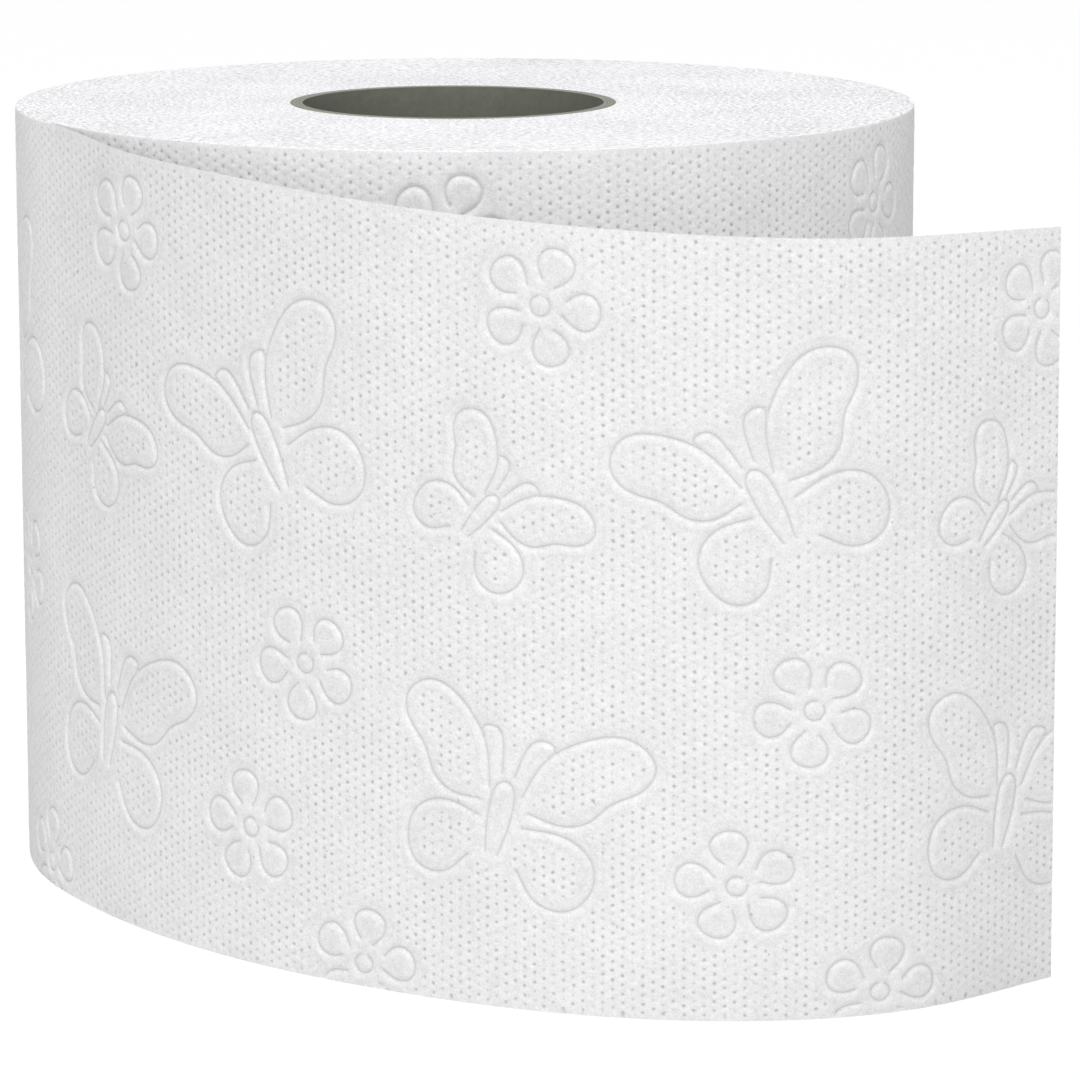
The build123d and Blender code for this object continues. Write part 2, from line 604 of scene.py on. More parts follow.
    def dot_places(self):
        """Middles of the dots of one repeat, in staggered columns, clear of the figures' lines."""
        pitch = self.sizes.dot_pitch
        columns = self.sizes.dot_columns
        spacing = self.repeat / columns
        dots = []
        for column in range(columns):
            lowest = pitch * (self.FIRST_DOT + self.STAGGER * (column % 2))
            across = np.arange(lowest, self.width - self.STAGGER * pitch, pitch)
            dots.append(np.stack([np.full_like(across, (column + 0.5) * spacing), across], -1))
        dots = np.vstack(dots)
        dots = dots[self.distance(dots) > self.sizes.dot_clearance]
        for middle in self.daisy_middles:
            apart = np.linalg.norm(dots - middle, axis=1)
            dots = dots[apart > self.PLAIN_SHARE * self.sizes.daisy_diameter / 2]
        return dots

    def cell(self):
        """Places in one repeat: points (along, across), each one's dot or -1, and its depth share."""
        lines = self.line_places()
        dots = self.dot_places()
        turn = tau * np.arange(self.RING_POINTS) / self.RING_POINTS
        ring = self.sizes.dot_radius * np.stack([np.cos(turn), np.sin(turn)], -1)
        rings = (dots[:, None] + ring[None]).reshape(-1, 2)
        number = np.arange(len(dots))
        dot = np.concatenate([np.full(len(lines), -1), number, np.repeat(number, len(ring))])
        raised = np.full(len(rings), -self.RING_RISE)
        share = np.concatenate([np.zeros(len(lines)), np.ones(len(dots)), raised])
        return np.vstack([lines, dots, rings]), dot, share


class Web:
    """Points of the web's pattern over a stretch of it, with their relief."""

    # How strongly a dot is marked for the material: painted shade in its middle, partly denser paper,
    # and a painted highlight on its raised ring
    PIT_MARK = 1.40
    # Marks along a line: the line itself, darker as denser paper and painted shade in the groove, a
    # band of painted highlight beside it and a faint outline of painted shade, each with its distance
    # from the line and its spread in half widths of the line
    LINE_SPREAD = 0.34
    LIGHT_MARK, LIGHT_PLACE, LIGHT_SPREAD = 0.14, 1.6, 1.0
    OUTLINE_MARK, OUTLINE_PLACE, OUTLINE_SPREAD = 0.13, 3.9, 0.8
    # Unevenness of the dots: their strengths, how far they are shifted, and their rings' heights
    DOT_STRENGTHS = (0.35, 1.25)
    DOT_SHIFT = 0.035 * MM
    RING_ROUGH = 0.018 * MM
    # The pattern's points stay this far from the seams between pieces
    SEAM = 0.08 * MM
    SEEDS = 1000

    def __init__(self, sizes, width):
        self.emboss = Emboss(sizes, width)
        self.width = width
        self.cell_points, self.cell_dot, self.cell_share = self.emboss.cell()
        self.cell_relief, self.cell_lines = self.edge(self.cell_points)

    def edge(self, places):
        """(relief, painted shade and highlight) of the lines at given places."""
        distance = self.emboss.distance(places)
        return self.emboss.depth(distance), self.mark(distance)

    def mark(self, distance):
        """Painted shade of a place near a line: up to 1 in it, below 0 in the painted highlight beside
        it.
        """
        aside = distance / self.emboss.sizes.groove_width
        # Painted shade in the line, a band of painted highlight beside it and a faint painted shade
        # outline
        line = np.exp(-((aside / self.LINE_SPREAD) ** 2))
        light = np.exp(-(((aside - self.LIGHT_PLACE) / self.LIGHT_SPREAD) ** 2))
        outline = np.exp(-(((aside - self.OUTLINE_PLACE) / self.OUTLINE_SPREAD) ** 2))
        return line - self.LIGHT_MARK * light + self.OUTLINE_MARK * outline

    def stretch(self, begin, end, margin):
        """(places, relief, painted shade and highlight) between two distances along the web, with a
        margin to its long edges."""
        repeat = self.emboss.repeat
        dots = int(self.cell_dot.max()) + 1
        found = []
        for k in range(floor(begin / repeat), ceil(end / repeat) + 1):
            random = np.random.default_rng(SEED + k % self.SEEDS)
            strength = random.uniform(*self.DOT_STRENGTHS, dots + 1)
            strength[-1] = 0
            shift = random.normal(0, self.DOT_SHIFT, (dots + 1, 2))
            shift[-1] = 0
            pit = self.cell_share * strength[self.cell_dot]
            rough = np.where(pit < 0, random.normal(0, self.RING_ROUGH, len(pit)), 0)
            places = self.cell_points + (k * repeat, 0) + shift[self.cell_dot]
            relief = self.cell_relief - self.emboss.sizes.dot_depth * pit + rough
            # Painted shade in the dots' middles and painted highlight on their rings, else the lines'
            # marks
            pressed = np.where(pit != 0, self.PIT_MARK * pit, self.cell_lines)
            found.append((places, relief, pressed))
        places, relief, pressed = (np.concatenate(column) for column in zip(*found))
        keep = (places[:, 0] > begin + self.SEAM) & (places[:, 0] < end - self.SEAM)
        keep &= (places[:, 1] > margin) & (places[:, 1] < self.width - margin)
        return places[keep], relief[keep], pressed[keep]

    def joints(self, first, last, count):
        """Ends of the pieces between two distances along the web, each between two columns of
        dots."""
        spacing = self.emboss.repeat / self.emboss.sizes.dot_columns
        plain = np.linspace(first, last, count + 1)
        inner = np.round(plain[1:-1] / spacing) * spacing
        return np.r_[first, inner, last]


webs = {}


def shared_web(sizes, width):
    """The web's pattern, worked out once for all pieces."""
    if width not in webs:
        webs[width] = Web(sizes, width)
    return webs[width]


# Meshes

def triangulated(places):
    """Triangles between places in web coordinates, as numbers of the places."""
    points = [Vector(place) for place in (places / MM).tolist()]
    found = delaunay_2d_cdt(points, [], [], 0, 1e-6, True)
    origin = np.array([numbers[0] for numbers in found[3]])
    return origin[np.array(found[2])]


def vertex_normals(points, triangles):
    """Normal of each point, from the triangles round it by area."""
    a, b, c = (points[triangles[:, i]] for i in range(3))
    faces = np.cross(b - a, c - a)
    normals = np.zeros_like(points)
    for i in range(3):
        for axis in range(3):
            normals[:, axis] += np.bincount(triangles[:, i], faces[:, axis], len(points))
    return normals


class Skin:
    """Collects the points, faces and corner values of one closed piece."""

    def __init__(self):
        self.points = []
        self.count = 0
        self.faces = []
        self.materials = []
        self.normals = []
        self.maps = []
        self.web = []
        self.pressed = []

    def add_points(self, points, web, pressed):
        """Adds points, their web coordinates and their painted shade and highlight; returns their
        start.
        """
        start = self.count
        self.points.append(points)
        self.web.append(web)
        self.pressed.append(pressed)
        self.count += len(points)
        return start

    def add_faces(self, faces, normals, maps, material):
        """Adds faces of one corner count: point numbers, corner normals and map places."""
        faces = np.asarray(faces)
        self.faces.append(faces)
        self.normals.append(np.asarray(normals).reshape(-1, 3))
        self.maps.append(np.asarray(maps).reshape(-1, 2))
        self.materials.append(np.full(len(faces), material))

    def make(self, name, materials):
        """Blender object of all that was added."""
        points = np.vstack(self.points)
        normals = unit(np.vstack(self.normals))
        if not (np.isfinite(points).all() and np.isfinite(normals).all()):
            raise ValueError(f"{name} has a point or a normal without a value")
        corners = np.concatenate([faces.ravel() for faces in self.faces])
        sizes = np.concatenate([np.full(len(faces), faces.shape[1]) for faces in self.faces])
        mesh = bpy.data.meshes.new(name)
        mesh.vertices.add(len(points))
        mesh.vertices.foreach_set("co", points.astype(np.float32).ravel())
        mesh.loops.add(len(corners))
        mesh.loops.foreach_set("vertex_index", corners.astype(np.int32))
        mesh.polygons.add(len(sizes))
        starts = np.r_[0, np.cumsum(sizes)[:-1]]
        mesh.polygons.foreach_set("loop_start", starts.astype(np.int32))
        mesh.polygons.foreach_set("material_index", np.concatenate(self.materials).astype(np.int32))
        for material in materials:
            mesh.materials.append(material)
        mesh.update(calc_edges=True)
        web = mesh.attributes.new("web", "FLOAT_VECTOR", "POINT")
        web.data.foreach_set("vector", np.vstack(self.web).astype(np.float32).ravel())
        pressed = mesh.attributes.new("pressed", "FLOAT", "POINT")
        pressed.data.foreach_set("value", np.concatenate(self.pressed).astype(np.float32))
        layer = mesh.uv_layers.new(name="OFBake")
        layer.uv.foreach_set("vector", np.vstack(self.maps).astype(np.float32).ravel())
        mesh.polygons.foreach_set("use_smooth", np.ones(len(sizes), bool))
        mesh.normals_split_custom_set(normals)
        mesh.validate()
        piece = bpy.data.objects.new(name, mesh)
        bpy.context.scene.collection.objects.link(piece)
        return piece


# Wound part

class WoundWeb:
    """Builds the wound part in sectors: closed pieces with the web outside and its cut edges on
    both ends. Their surface is unrolled to "along" and v, which runs from the hole over the lower
    end, up the outside and over the upper end back to the hole."""

    EDGE_STEP = 0.64 * MM
    FACE_STEP = 0.8 * MM
    MARGIN = 0.42 * MM
    SECTORS = 3
    # Rows on the ends, in steps from the rim: the first, the second, and the room at the hole
    FIRST_ROW = 0.7
    SECOND_ROW = 1.5
    HOLE_ROOM = 0.3
    # Unevenness of the ends, and how far it stays from the rim and from the hole
    GRAIN = 0.03 * MM
    GRAIN_FROM_RIM = 0.2 * MM
    GRAIN_FROM_HOLE = 2 * MM
    # Map of a sector: place and size of its skin, the band of the hole's wall, and the end walls
    MAP_START = (0.03, 0.02)
    MAP_SIZE = (0.94, 0.9)
    MAP_HOLE = (0.94, 0.96)
    MAP_WALLS = (0.015, 0.985)

    def __init__(self, sizes, emboss, width, hole):
        self.rim = sizes.rim
        self.width = width
        self.hole = hole
        self.turn = Turn(sizes)
        self.web = shared_web(emboss, width)
        self.face = float(self.turn.radii[-1] - hole)
        self.bend = sizes.rim * pi / 4
        self.whole = 2 * self.face + width

    def profile(self, v):
        """Inset from the outside, height, and outward and upward parts of the normal, at v."""
        rim, bend, face, half = self.rim, self.bend, self.face, self.width / 2
        top = v > face + half
        w = np.where(top, self.whole - v, v)
        angle = np.clip((w - (face - bend)) / (2 * bend), 0, 1) * pi / 2
        inward = (face - bend - w) * (face - rim) / (face - bend)
        rise = (w - face - bend) / (half - bend) * (half - rim)
        zones = [w < face - bend, w > face + bend]
        inset = np.select(zones, [rim + inward, 0.0 * w], rim * (1 - np.sin(angle)))
        height = np.select(zones, [0.0 * w, rim + rise], rim * (1 - np.cos(angle)))
        height = np.where(top, self.width - height, height)
        up = np.cos(angle)
        return inset, height, np.sin(angle), np.where(top, up, -up)

    def place(self, along, v, relief):
        """Points in space of places on the unrolled surface, and their plain normals."""
        outside, out = self.turn.at(along)
        inset, height, outward, upward = self.profile(v)
        normal = out * outward[:, None]
        normal[:, 2] += upward
        point = outside + (self.hole * out - outside) * (inset / self.face)[:, None]
        point += normal * relief[:, None]
        point[:, 2] += height
        return point, normal

    def border_places(self, begin, end):
        """Places on the rims, the ends and the seams of one sector."""
        face, width, bend = self.face, self.width, self.bend
        rows = []
        edge = evenly(begin, end, self.EDGE_STEP)
        for rim in (face, face + width):
            for v in (rim - bend, rim, rim + bend):
                rows.append(np.stack([edge, np.full_like(edge, v)], -1))
        steps = np.arange(self.SECOND_ROW, (face - bend) / self.FACE_STEP, 1)
        wide = evenly(begin, end, 2 * self.FACE_STEP)
        between = np.r_[begin, (wide[1:] + wide[:-1]) / 2, end]
        room = self.HOLE_ROOM * self.FACE_STEP
        for number, depth in enumerate(np.r_[self.FIRST_ROW, steps] * self.FACE_STEP):
            row = wide if number % 2 else between
            for v in (face - bend - depth, face + width + bend + depth):
                if room < v < self.whole - room:
                    rows.append(np.stack([row, np.full_like(row, v)], -1))
        for v in (0, self.whole):
            rows.append(np.stack([wide, np.full_like(wide, v)], -1))
        column = evenly(face + bend, face + width - bend, self.EDGE_STEP / 2)[1:-1]
        for along in (begin, end):
            rows.append(np.stack([np.full_like(column, along), column], -1))
        return np.vstack(rows)

    def places(self, begin, end):
        """Places on the unrolled surface of one sector: (along, v), relief and painted shade and
        highlight.
        """
        face, width, bend = self.face, self.width, self.bend
        web, relief, pressed = self.web.stretch(begin, end, self.MARGIN)
        border = self.border_places(begin, end)
        on_side = (border[:, 1] > face - bend) & (border[:, 1] < face + width + bend)
        border_relief, border_density_and_painted_light = self.web.edge(border - (0, face))
        places = np.vstack([web + (0, face), border])
        relief = np.concatenate([relief, np.where(on_side, border_relief, 0)])
        pressed = np.concatenate([pressed, np.where(on_side, border_density_and_painted_light, 0)])
        depth = np.maximum(face - bend - places[:, 1], places[:, 1] - face - width - bend)
        grain = np.random.default_rng(SEED).normal(0, self.GRAIN, len(places))
        inner = (depth > self.GRAIN_FROM_RIM) & (depth < face - self.GRAIN_FROM_HOLE)
        relief += np.where(inner, grain, 0)
        return places, relief, pressed

    def sector(self, number):
        """Closed piece of one sector."""
        begin, end = self.web.joints(-self.turn.length, 0, self.SECTORS)[number : number + 2]
        places, relief, pressed = self.places(begin, end)
        points, plain = self.place(places[:, 0], places[:, 1], relief)
        triangles = triangulated(places)
        normals = vertex_normals(points, triangles)
        seam = np.minimum(np.abs(places[:, 0] - begin), np.abs(places[:, 0] - end)) < TOUCH
        normals[seam] = plain[seam]
        skin = Skin()
        skin.add_points(points, np.c_[places, relief], pressed)
        maps = (places - (begin, 0)) / (end - begin, self.whole) * self.MAP_SIZE + self.MAP_START
        middle = places[triangles, 1].mean(1)
        on_face = (middle < self.face) | (middle > self.face + self.width)
        for material, chosen in ((0, ~on_face), (1, on_face)):
            part = triangles[chosen]
            skin.add_faces(part, normals[part], maps[part], material)
        self.add_hole(skin, places, maps)
        self.add_walls(skin, places, maps, (begin, end))
        return skin

    def add_hole(self, skin, places, maps):
        """Adds the wall of the hole, from the lower end to the upper one."""
        low = self.row(places, 1, 0)
        high = self.row(places, 1, self.whole)
        inward = -self.turn.at(places[low, 0])[1]
        quads = np.stack([low[1:], low[:-1], high[:-1], high[1:]], -1)
        normals = np.stack([inward[1:], inward[:-1], inward[:-1], inward[1:]], 1)
        band = maps[quads]
        band[:, :2, 1] = self.MAP_HOLE[0]
        band[:, 2:, 1] = self.MAP_HOLE[1]
        skin.add_faces(quads, normals, band, 1)

    def add_walls(self, skin, places, maps, ends):
        """Adds the two flat walls where the sector meets its neighbours."""
        for along, sign, across in zip(ends, (-1, 1), self.MAP_WALLS):
            wall = self.row(places, 0, along)
            if sign > 0:
                wall = wall[::-1]
            out = self.turn.at(np.array([along]))[1][0]
            normals = np.tile(np.cross((0, 0, 1), out) * sign, (len(wall), 1))
            strip = np.stack([np.full(len(wall), across), maps[wall, 1]], -1)
            skin.add_faces([wall], normals, strip, 1)

    @staticmethod
    def row(places, axis, value):
        """Numbers of the places on one border, in order along it."""
        found = np.flatnonzero(np.abs(places[:, axis] - value) < TOUCH)
        return found[np.argsort(places[found, 1 - axis])]


# Loose end

class LooseSheet:
    """Builds the loose end in lengths: closed sheets with the same relief on both sides."""

    EDGE_STEP = 0.64 * MM
    MARGIN = 0.42 * MM
    LENGTHS = 2
    # The inner side of the head lies this much lower, so that its cut edge doesn't show
    SLANT = 0.22 * MM
    # Share of the relief that is left at a cut edge, and of the rim that the edge stands out
    EDGE_SHARE = 0.25
    EDGE_BULGE = 0.1
    # Map of a length: size of each side, their places, and how far the edges' strips reach out
    MAP_SIZE = (0.94, 0.46)
    MAP_OUTER = (0.03, 0.02)
    MAP_INNER = (0.03, 0.52)
    MAP_STRIP = 0.012

    def __init__(self, sizes, emboss, width):
        self.sizes = sizes
        self.width = width
        self.path = LooseEnd(sizes, Turn(sizes), width)
        self.web = shared_web(emboss, width)

    def border(self, begin, end):
        """Places round one length, anticlockwise from its foot."""
        edge = evenly(begin, end, self.EDGE_STEP)
        column = evenly(0, self.width, self.EDGE_STEP / 2)
        foot = np.stack([edge, np.zeros_like(edge)], -1)
        right = np.stack([np.full_like(column, end), column], -1)[1:-1]
        head = np.stack([edge, np.full_like(edge, self.width)], -1)[::-1]
        left = np.stack([np.full_like(column, begin), column], -1)[1:-1][::-1]
        return np.vstack([foot, right, head, left])

    def length(self, number):
        """Closed piece of one length."""
        begin, end = self.web.joints(0, self.path.length, self.LENGTHS)[number : number + 2]
        places, relief, pressed = self.web.stretch(begin, end, self.MARGIN)
        border = self.border(begin, end)
        foot, head = border[:, 1] < TOUCH, border[:, 1] > self.width - TOUCH
        left, right = border[:, 0] < begin + TOUCH, border[:, 0] > end - TOUCH
        free = right & (number == self.LENGTHS - 1)
        border_relief, border_density_and_painted_light = self.web.edge(border)
        border_relief[foot | head | free] *= self.EDGE_SHARE
        loop = len(places) + np.arange(len(border))
        places = np.vstack([places, border])
        relief = np.concatenate([relief, border_relief])
        pressed = np.concatenate([pressed, border_density_and_painted_light])
        surface, plain = self.path.at(places[:, 0], places[:, 1])
        outer = surface + plain * relief[:, None]
        inner = outer - plain * self.sizes.sheet_thickness
        inner[loop[head], 2] -= self.SLANT
        triangles = triangulated(places)
        normals = unit(vertex_normals(outer, triangles))
        joined = loop[left | (right & ~free)]
        normals[joined] = plain[joined]

        skin = Skin()
        web = np.c_[places, relief]
        skin.add_points(outer, web, pressed)
        back = skin.add_points(inner, web, pressed)
        flat = (places - (begin, 0)) / (end - begin, self.width) * self.MAP_SIZE
        outer_map = flat + self.MAP_OUTER
        inner_map = flat + self.MAP_INNER
        skin.add_faces(triangles, normals[triangles], outer_map[triangles], 0)
        turned = triangles[:, ::-1]
        skin.add_faces(turned + back, -normals[turned], inner_map[turned], 0)

        way, rise = self.path.ways(border[:, 0])
        away = rise * head[:, None] + way * free[:, None]
        ridge = (outer[loop] + inner[loop]) / 2 + away * self.sizes.rim * self.EDGE_BULGE
        ridge = skin.add_points(ridge, web[loop], pressed[loop]) + np.arange(len(loop))
        across = (head.astype(float) - foot)[:, None]
        along = (right.astype(float) - left)[:, None]
        outward = unit(rise * across + way * along)
        front = unit(outward + plain[loop])
        behind = unit(outward - plain[loop])
        step = np.hstack([along, across]) * self.MAP_STRIP
        following = np.roll(np.arange(len(loop)), -1)
        sides = [
            (loop, ridge, front, outward, outer_map[loop], outer_map[loop] + step),
            (ridge, loop + back, outward, behind, inner_map[loop] + step, inner_map[loop]),
        ]
        for near, far, near_normal, far_normal, near_map, far_map in sides:
            faces = np.stack([near[following], near, far, far[following]], -1)
            corners = (near_normal[following], near_normal, far_normal, far_normal[following])
            maps = (near_map[following], near_map, far_map, far_map[following])
            skin.add_faces(faces, np.stack(corners, 1), np.stack(maps, 1), 0)
        return skin


# Core tube

class CoreTube:
    """Builds the core: a board tube wound from plies, with its helical joint inside and outside."""

    COLUMNS = 120
    ROWS = 48
    # Rise of the joint in one whole turn, its depth, and the columns and depth shares across it
    JOINT_PITCH = 118 * MM
    JOINT_DEPTH = 0.10 * MM
    JOINT_START = (0.0, 0.002, 0.005, 0.009)
    JOINT_END = (0.991, 0.995, 0.998)
    JOINT_SHARES = (1.0, 0.8, 0.1)
    # Rings on the tube's ends as shares of its wall; every third one lies in a groove
    PLY_SHARES = (0.0, 0.22, 0.27, 0.32, 0.50, 0.55, 0.60, 0.78, 0.83, 0.88, 1.0)
    PLY_DEPTH = 0.09 * MM
    SHARP_ANGLE = radians(50)

    def __init__(self, bore, radius, width):
        self.bore = bore
        self.radius = radius
        self.width = width

    def angles(self):
        """Turns of the columns as shares, closer together at the joint, and how deep each lies."""
        plain = np.linspace(0, 1, self.COLUMNS, endpoint=False)
        turns = np.r_[self.JOINT_START, plain[2:], self.JOINT_END]
        depths = np.zeros(len(turns))
        depths[[0, 1, -1]] = self.JOINT_DEPTH * np.array(self.JOINT_SHARES)
        return turns, depths

    def section(self):
        """Rings of the tube in order: radius, height, side of the wall, and share of a groove."""
        heights = np.linspace(0, self.width, self.ROWS)
        wall = self.radius - self.bore
        plies = [
            (self.bore + share * wall, float(number % 3 == 2))
            for number, share in enumerate(self.PLY_SHARES)
        ][1:-1]
        rings = [(self.bore, high, 1.0, 0.0) for high in heights]
        rings += [(radius, self.width, 0.0, -cut) for radius, cut in plies]
        rings += [(self.radius, high, -1.0, 0.0) for high in heights[::-1]]
        rings += [(radius, 0.0, 0.0, cut) for radius, cut in plies[::-1]]
        return rings

    def make(self, name, material):
        """Closed tube as one mesh of rings along a closed section."""
        turns, depths = self.angles()
        section = self.section()
        points = []
        for radius, height, side, cut in section:
            angle = tau * (turns + height / self.JOINT_PITCH)
            ring = level(angle) * (radius + side * depths)[:, None]
            ring[:, 2] = height + cut * self.PLY_DEPTH
            points.append(ring)
        index = np.arange(len(turns) * len(section)).reshape(len(section), len(turns))
        across = np.roll(index, -1, axis=1)
        up = np.roll(index, -1, axis=0)
        corner = np.roll(across, -1, axis=0)
        faces = np.stack([index, up, corner, across], -1).reshape(-1, 4)
        mesh = bpy.data.meshes.new(name)
        mesh.from_pydata(np.vstack(points).tolist(), [], faces.tolist())
        mesh.materials.append(material)
        mesh.update()
        mesh.validate()
        piece = bpy.data.objects.new(name, mesh)
        bpy.context.scene.collection.objects.link(piece)
        mesh.shade_smooth()
        sharp = piece.modifiers.new("sharp rims", "EDGE_SPLIT")
        sharp.split_angle = self.SHARP_ANGLE
        bpy.context.view_layer.objects.active = piece
        piece.select_set(True)
        bpy.ops.object.modifier_apply(modifier=sharp.name)
        return piece


# Materials

class Value:
    """A number that varies over a surface; an expression on it adds Math nodes."""

    def __init__(self, shader, socket):
        self.shader = shader
        self.socket = socket

    def reckon(self, operation, *numbers):
        """One Math node on the given numbers."""
        node = self.shader.add("ShaderNodeMath", {"operation": operation}, dict(enumerate(numbers)))
        return Value(self.shader, node.outputs[0])

    def __add__(self, other):
        return self.reckon("ADD", self, other)

    def __radd__(self, other):
        return self.reckon("ADD", other, self)

    def __mul__(self, other):
        return self.reckon("MULTIPLY", self, other)

    def __rmul__(self, other):
        return self.reckon("MULTIPLY", other, self)

    def __abs__(self):
        return self.reckon("ABSOLUTE", self)


class Shader:
    """A material's node tree, and the nodes that this file adds to it."""

    def __init__(self, tree):
        self.tree = tree
        tree.nodes.clear()

    def add(self, kind, settings=(), values=()):
        """One node: its settings are set first, then the values or links of its sockets."""
        node = self.tree.nodes.new(kind)
        for key, setting in dict(settings).items():
            setattr(node, key, setting)
        for key, value in dict(values).items():
            socket = node.inputs[key]
            if isinstance(value, Value):
                self.tree.links.new(value.socket, socket)
            elif isinstance(value, bpy.types.NodeSocket):
                self.tree.links.new(value, socket)
            elif socket.type == "RGBA":
                socket.default_value = (*value, 1)
            else:
                socket.default_value = value
        return node

    def value(self, kind, output, settings=(), values=()):
        """The number that one node gives."""
        return Value(self, self.add(kind, settings, values).outputs[output])

    def mix(self, share, first, second):
        """Colour between two colours."""
        node = self.add("ShaderNodeMix", {"data_type": "RGBA"}, {0: share, 6: first, 7: second})
        return node.outputs[2]

    def noise(self, place, scale, detail, rough=0.55):
        """Noise between 0 and 1, with a given number of waves in a metre."""
        values = {"Vector": place, "Scale": scale, "Detail": detail, "Roughness": rough}
        return self.value("ShaderNodeTexNoise", 0, {}, values)

    def spread(self, tone, low, high, most=1.0):
        """A tone stretched so that low gives 0 and high gives the most."""
        values = {"Value": tone, "From Min": low, "From Max": high, "To Min": 0.0, "To Max": most}
        return self.value("ShaderNodeMapRange", 0, {"clamp": True}, values)

    def seen(self):
        """1 on rays from the camera and through gloss or glass, 0 on the light's other rays."""
        path = self.add("ShaderNodeLightPath")
        seen = Value(self, path.outputs["Is Camera Ray"])
        for name in ("Is Glossy Ray", "Is Transmission Ray"):
            seen = seen.reckon("MAXIMUM", seen, Value(self, path.outputs[name]))
        return seen

    def matt(self, colour, roughness, specular, height, strength, distance):
        """Ends the material: a matt surface of a colour, with a bump of a height."""
        bump = self.add(
            "ShaderNodeBump", {}, {"Strength": strength, "Distance": distance, "Height": height}
        )
        surface = self.add(
            "ShaderNodeBsdfPrincipled",
            {},
            {
                "Base Color": colour,
                "Roughness": roughness,
                "Specular IOR Level": specular,
                "Normal": bump.outputs[0],
            },
        )
        self.add("ShaderNodeOutputMaterial", {}, {"Surface": surface.outputs[0]})


def new_material(name):
    """An empty material and the shader that fills it."""
    material = bpy.data.materials.new(name)
    material.use_nodes = True
    return material, Shader(material.node_tree)


def shaded(colour, share):
    """A colour made darker or lighter by a share."""
    return tuple(channel * share for channel in colour)


def sheet_material(paper):
    """Soft white tissue: mottled fibres and fine grain, darker in the grooves and pits as denser paper
    and painted shade, and lighter beside the lines and round the dots as painted highlight.
    """
    material, shader = new_material("tissue_sheet")
    place = shader.add("ShaderNodeTexCoord").outputs["Object"]
    pressed = shader.value("ShaderNodeAttribute", "Fac", {"attribute_name": "pressed"})
    clouds = shader.noise(place, scale=110.0, detail=3.0)
    fibres = shader.noise(place, scale=1300.0, detail=4.0, rough=0.65)
    flecks = shader.noise(place, scale=4600.0, detail=2.0, rough=0.6)
    grain = shader.spread(clouds * 0.16 + fibres * 0.34 + flecks * 0.50, low=0.38, high=0.62)
    speck = shader.spread(shader.noise(place, scale=1500.0, detail=0.0), low=0.845, high=0.87, most=0.5)
    colour = shader.mix(grain, shaded(paper, 0.86), shaded(paper, 1.10))
    # Painted highlight: lighter beside the lines and on the dots' rings
    colour = shader.mix(pressed * -0.9, colour, shaded(paper, 1.10))
    # Darker in the grooves and pits: denser paper and painted shade
    colour = shader.mix(pressed, colour, shaded(paper, 0.74))
    colour = shader.mix(speck, colour, shaded(paper, 0.45))
    shader.matt(
        colour,
        roughness=fibres * 0.1 + 0.85,
        specular=0.2,
        height=fibres * 0.5 + flecks * 0.5,
        strength=0.5,
        distance=0.14 * MM,
    )
    return material


def edge_material(paper):
    """Cut edges of many turns: fine broken lines along the turns, with flecks between them."""
    material, shader = new_material("tissue_edges")
    web = shader.add("ShaderNodeAttribute", {"attribute_name": "web"}).outputs["Vector"]
    place = shader.add("ShaderNodeTexCoord").outputs["Object"]
    along = shader.add("ShaderNodeMapping", {}, {"Vector": web, "Scale": (0.4, 1.0, 0.0)}).outputs[0]
    turns = shader.noise(along, scale=2000.0, detail=3.0, rough=0.65)
    flecks = shader.noise(place, scale=2400.0, detail=2.0, rough=0.6)
    clouds = shader.noise(place, scale=60.0, detail=2.0)
    tone = turns * 0.58 + flecks * 0.32 + clouds * 0.10
    grain = shader.spread(tone, low=0.42, high=0.55)
    colour = shader.mix(grain, shaded(paper, 0.67), shaded(paper, 1.09))
    shader.matt(colour, roughness=0.95, specular=0.15, height=tone, strength=0.4, distance=0.12 * MM)
    return material


def board_material(board):
    """Grey cardboard of short fibres and flecks, lighter where the tube is cut."""
    material, shader = new_material("core_board")
    place = shader.add("ShaderNodeTexCoord").outputs["Object"]
    fibres = shader.noise(place, scale=700.0, detail=4.0, rough=0.65)
    flecks = shader.noise(place, scale=1800.0, detail=2.0, rough=0.5)
    clouds = shader.noise(place, scale=70.0, detail=2.0)
    tone = fibres * 0.5 + flecks * 0.25 + clouds * 0.25
    grain = shader.spread(tone, low=0.35, high=0.65)
    normal = shader.add("ShaderNodeNewGeometry").outputs["Normal"]
    cut = abs(shader.value("ShaderNodeSeparateXYZ", "Z", {}, {0: normal}))
    wall_colour = shader.mix(grain, shaded(board, 0.86), shaded(board, 1.12))
    cut_colour = shader.mix(grain, shaded(board, 1.30), shaded(board, 1.65))
    shader.matt(
        shader.mix(cut, wall_colour, cut_colour),
        roughness=fibres * 0.15 + 0.75,
        specular=0.3,
        height=tone,
        strength=0.4,
        distance=0.08 * MM,
    )
    return material


def tissue_materials(sizes):
    """The two materials of the tissue, made once."""
    sheet = bpy.data.materials.get("tissue_sheet") or sheet_material(sizes.paper)
    edges = bpy.data.materials.get("tissue_edges") or edge_material(sizes.edges)
    return [sheet, edges]


# Operators

class ROLL_OT_wound_web(bpy.types.Operator):
    """Build the wound part of the web, in three sectors"""

    bl_idname = "roll.wound_web"
    bl_label = "Wound web"

    def execute(self, context):
        sizes = context.scene.roll_sizes
        hole = core_high.x + sizes.clearance
        wound = WoundWeb(sizes, context.scene.roll_emboss, WEB_WIDTH, hole)
        for number in range(wound.SECTORS):
            piece = wound.sector(number).make(f"wound_web_{number + 1}", tissue_materials(sizes))
            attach(piece, "root")
            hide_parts("paper_roll")
        return {"FINISHED"}


